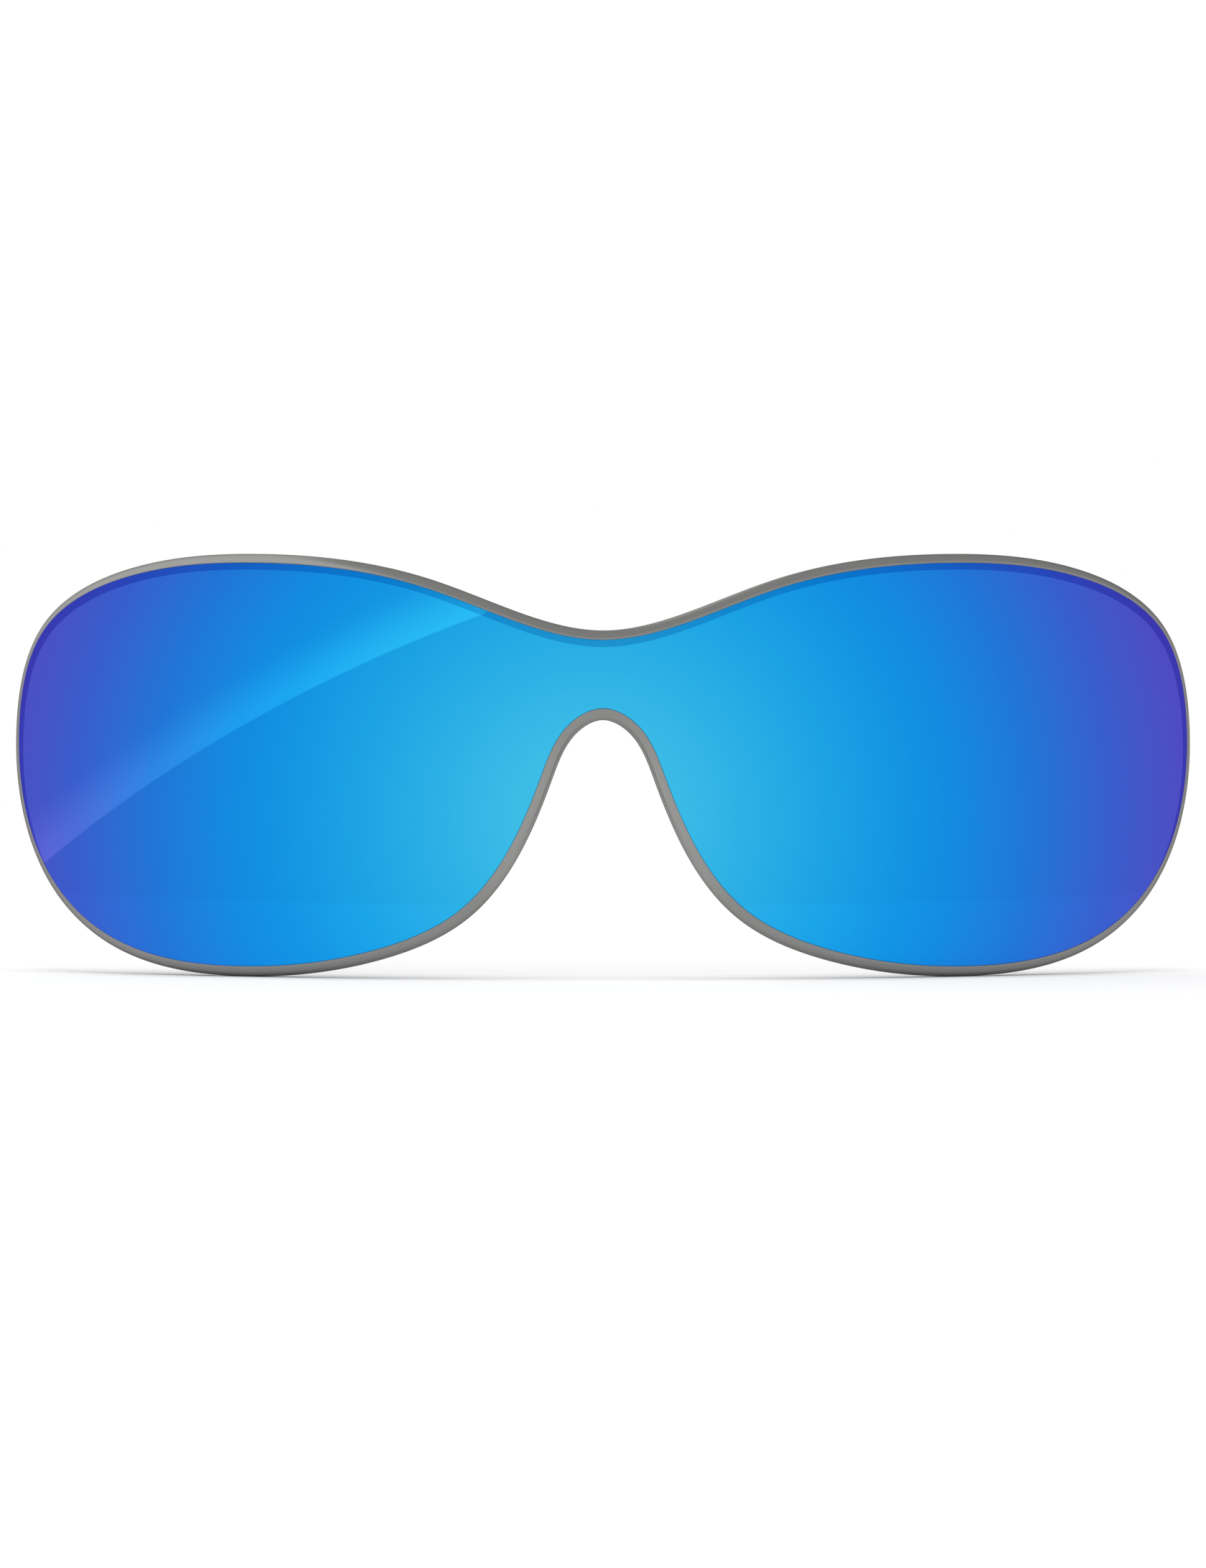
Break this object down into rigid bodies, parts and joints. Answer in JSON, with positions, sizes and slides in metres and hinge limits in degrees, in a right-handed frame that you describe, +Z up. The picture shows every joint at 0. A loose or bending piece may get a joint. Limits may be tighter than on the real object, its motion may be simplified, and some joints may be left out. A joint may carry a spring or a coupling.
{
  "type": "shield lens",
  "caption": "One-piece wrap shield lens for sports eyewear, with a mirror-coated face, a rounded bare edge all round and a nose arch in its lower edge.",
  "frame": {"origin": "on the surface the lens stands on, under the middle of its bounding box", "axes": "+X to the wearer's left along the width, -Y ahead of the wearer (the mirror face), +Z up"},
  "size_m": [0.1384, 0.0282, 0.0482],
  "materials": {
    "mirror_coat": "blue mirror, gloss",
    "hard_coat": "clear gloss lacquer",
    "wafer_sheet": "grey-tinted clear sheet",
    "adhesive": "clear glue line",
    "polarising_film": "dark polarising film",
    "moulded_body": "grey-tinted moulding, satin edge",
    "anti_fog_coat": "dark grey seen through the clear coat, gloss"
  },
  "bodies": {
    "root": {"mirror_coating": "mirror_coat", "front_hard_coat": "hard_coat", "front_sheet": "wafer_sheet", "front_adhesive": "adhesive", "polarising_film": "polarising_film", "rear_adhesive": "adhesive", "rear_sheet": "wafer_sheet", "lens_body": "moulded_body", "rear_hard_coat": "hard_coat", "anti_fog_coat": "anti_fog_coat"}
  },
  "joints": []
}
